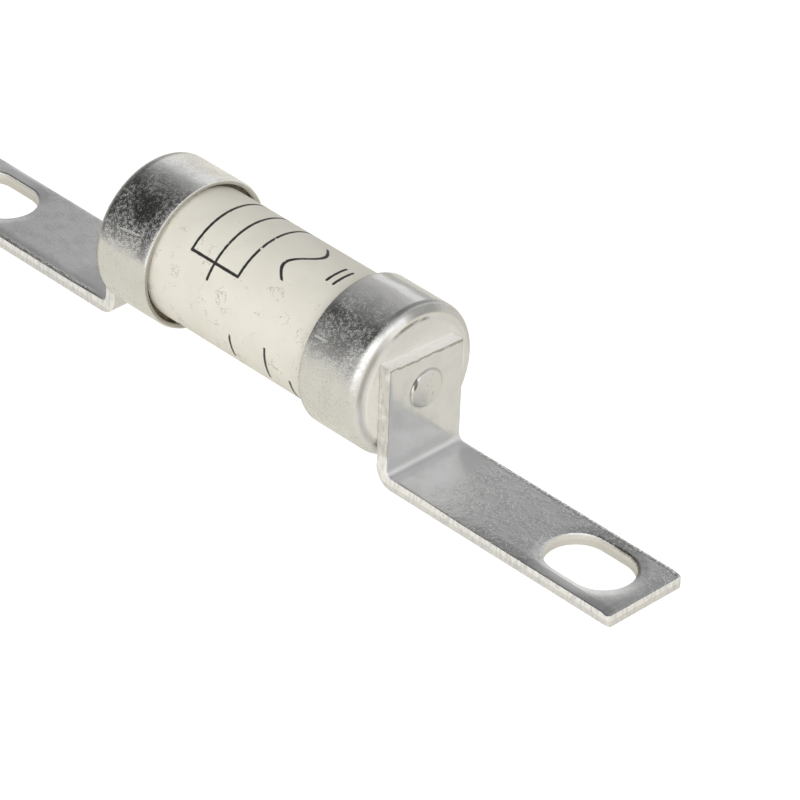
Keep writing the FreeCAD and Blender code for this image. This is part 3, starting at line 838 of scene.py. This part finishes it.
# one long edge rolls over along the foot: rolledSide is -1 for the front one and 1 for the back one
def makeTag(name, clip, rolledSide, rolledFrom):
    piece = drawLine(name, [(bendAt, y, z) for y, z in tagSection()])
    weld(piece, outwards=False)
    startEditing(piece)
    # up round the bend into the riser, narrowing at its top
    bpy.ops.mesh.spin(steps=12, angle=-math.pi / 2, center=Vector((bendAt, 0, tag["bendOut"])) * mm,
                      axis=(0, 1, 0))
    for rise in (*riserRows, tag["top"] - tag["bendOut"] - sum(riserRows) - clip):
        extrudeLoop((0, 0, rise))
    for rise, narrower in clippedRows:
        extrudeLoop((0, 0, clip * rise))
        width = (tag["half"] - clip * narrower) / tag["half"]
        bpy.ops.transform.resize(value=(1, width, 1), center_override=(0, 0, 0))
    bpy.ops.mesh.edge_face_add()
    # the clipped rows tilt together, so that none of them folds over
    pick(piece, lambda place: place.z > tag["top"] - clip - 0.01)
    bpy.ops.transform.rotate(value=math.radians(tag["topTilt"]), orient_axis="X",
                             center_override=Vector((riserMiddle, 0, tag["top"])) * mm)
    # out along the foot to the tip
    pick(piece, lambda place: abs(place.x - bendAt) < 0.001 and place.z < tag["thick"] + 0.01)
    bpy.ops.mesh.select_mode(type="EDGE")
    rows = (bendAt, tag["rollFrom"], tag["rollFull"], footRow, tag["tip"] - rolledTip[0][0])
    for here, there in zip(rows, rows[1:]):
        extrudeLoop((there - here, 0, 0))
    for (before, dropBefore, lessBefore), (here, drop, less) in zip(rolledTip, rolledTip[1:]):
        extrudeLoop((before - here, 0, 0))
        lower = (tag["thick"] - drop) / (tag["thick"] - dropBefore)
        narrower = (tag["half"] - less) / (tag["half"] - lessBefore)
        bpy.ops.transform.resize(value=(1, narrower, lower), center_override=(0, 0, 0))
    bpy.ops.mesh.edge_face_add()
    for inwards, drop in rolledEdge:
        column = (tag["half"] - inwards) * rolledSide
        pick(piece, lambda place: place.x > rolledFrom - 0.01 and place.z > tag["thick"] / 2
             and abs(place.y - column) < 0.005)
        bpy.ops.transform.translate(value=(0, 0, -drop * mm))
    stopEditing()
    weld(piece)
    return piece


def makeSlotCutter():
    radius = tag["slotWide"] / 2
    reach = tag["slotLong"] / 2
    deselectAll()
    bpy.ops.mesh.primitive_circle_add(vertices=72, radius=radius * mm, fill_type="NGON",
                                      location=Vector((tag["slotAt"], 0, slotFlare[0][0])) * mm)
    cutter = bpy.context.object
    bpy.ops.object.transform_apply(location=True, rotation=True, scale=True)
    startEditing(cutter, everything=False)
    for side in (-1, 1):
        pick(cutter, lambda place: (place.x - tag["slotAt"]) * side > 0.01)
        bpy.ops.transform.translate(value=(slotStraight * side * mm, 0, 0))
    bpy.ops.mesh.select_all(action="SELECT")
    for (before, outBefore), (here, out) in zip(slotFlare, slotFlare[1:]):
        extrudeLoop((0, 0, here - before))
        longer = (reach + out) / (reach + outBefore)
        wider = (radius + out) / (radius + outBefore)
        bpy.ops.transform.resize(value=(longer, wider, 1),
                                 center_override=Vector((tag["slotAt"], 0, 0)) * mm)
    stopEditing()
    weld(cutter)
    return cutter


def cutTag(piece):
    cutWith(piece, makeSlotCutter())
    drillForRivet(piece, riserMiddle)
    smooth(piece, 32, weighted=True)


def makeTags():
    near = makeTag("tagNear", tag["nearClip"], -1, tag["rollFull"])
    cutTag(near)
    plain = makeTag("tagPlain", tag["farClip"], 1, tag["rollFrom"])
    cutTag(plain)
    far = turnedCopy(plain, "tagFar")
    bpy.data.objects.remove(plain, do_unlink=True)
    finishPiece(near, tagFinish, "tag_right")
    finishPiece(far, tagFinish, "tag_left")


makeTags()
print("tags made")


# rivets

# how far out from the riser's face, and how far in from the head's edge, the head's curve goes
headCurve = ((0.0, 0.0), (0.04, 0.01), (0.1, 0.05), (0.15, 0.12), (0.19, 0.22), (0.22, 0.36), (0.25, 0.55),
             (0.29, 0.85), (0.35, 1.25))


def makeRivets():
    face, height, shank, tail, end = (rivet[key] for key in ("face", "height", "shank", "tail", "end"))
    section = [(end, 0.0), (end, tail - 0.1), (end + 0.1, tail), (rivet["tailFrom"], tail),
               (rivet["tailFrom"], shank), (face, shank)]
    section += [(face + outwards, rivet["head"] - inwards) for outwards, inwards in headCurve]
    section += [(face + rivet["headHigh"], 0.0)]
    piece = turn("rivetNear", section, height, rivet["steps"])
    startEditing(piece, everything=False)  # the head is not quite over its shank
    pick(piece, lambda place: place.x > face + 0.01 or
         place.x > face - 0.01 and Vector((place.y, place.z - height)).length > shank + 0.05)
    bpy.ops.transform.translate(value=(0, 0, -rivet["headLower"] * mm))
    stopEditing()
    smooth(piece, 50)
    other = turnedCopy(piece, "rivetFar")
    finishPiece(piece, rivetFinish, "tag_rivet_right")
    finishPiece(other, rivetFinish, "tag_rivet_left")


makeRivets()
print("rivets made")


# what is inside keeps its CAD shape and gets its finish

inner = {
    "innerBrass": {"nodes": ("inner_cap_left", "inner_cap_right", "filler_plug"), "metallic": 1.0,
                   "colours": ((0.19, 0.155, 0.11), (0.1, 0.085, 0.062)), "scale": 0.8, "roughness": 0.45,
                   "grain": 5.0, "relief": 0.003},
    "pressedFibre": {"nodes": ("sealing_disc_left", "sealing_disc_right"), "metallic": 0.0,
                     "colours": ((0.42, 0.32, 0.2), (0.3, 0.21, 0.13)), "scale": 1.2, "roughness": 0.8,
                     "grain": 6.0, "relief": 0.02},
    "silveredStrip": {"nodes": ("fuse_element_front", "fuse_element_rear"), "metallic": 1.0,
                      "colours": ((0.86, 0.84, 0.8), (0.7, 0.64, 0.54)), "scale": 0.6, "roughness": 0.25,
                      "grain": 4.0, "relief": 0.003},
    "tinAlloy": {"nodes": ("alloy_spot_front", "alloy_spot_rear"), "metallic": 1.0,
                 "colours": ((0.6, 0.6, 0.6), (0.42, 0.42, 0.43)), "scale": 1.5, "roughness": 0.4,
                 "grain": 3.0, "relief": 0.02},
    "quartzSand": {"nodes": ("quartz_filler",), "metallic": 0.0,
                   "colours": ((0.8, 0.76, 0.68), (0.58, 0.52, 0.44)), "scale": 5.0, "roughness": 0.7,
                   "grain": 4.5, "relief": 0.12},
}


def dressInner():
    for name, finish in inner.items():
        material, bench = newFinish(name)
        where = bench.place()
        clouds = bench.noise(where, finish["scale"], 3)
        grain = bench.noise(where, finish["grain"], 3, 0.6)
        light, dark = finish["colours"]
        colour = bench.blend(clouds.rise(0.3, 0.7), light, dark)
        roughness = finish["roughness"] + (grain - 0.5) * 0.2
        relief = bench.bump(grain * finish["relief"])
        closeFinish(bench, {"Base Color": colour, "Roughness": roughness, "Normal": relief},
                    {"Metallic": finish["metallic"]})
        for node in finish["nodes"]:
            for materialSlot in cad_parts[node].material_slots:
                materialSlot.material = material


dressInner()
print("inner pieces dressed")

deselectAll()
bpy.context.scene.view_settings.view_transform = "Standard"
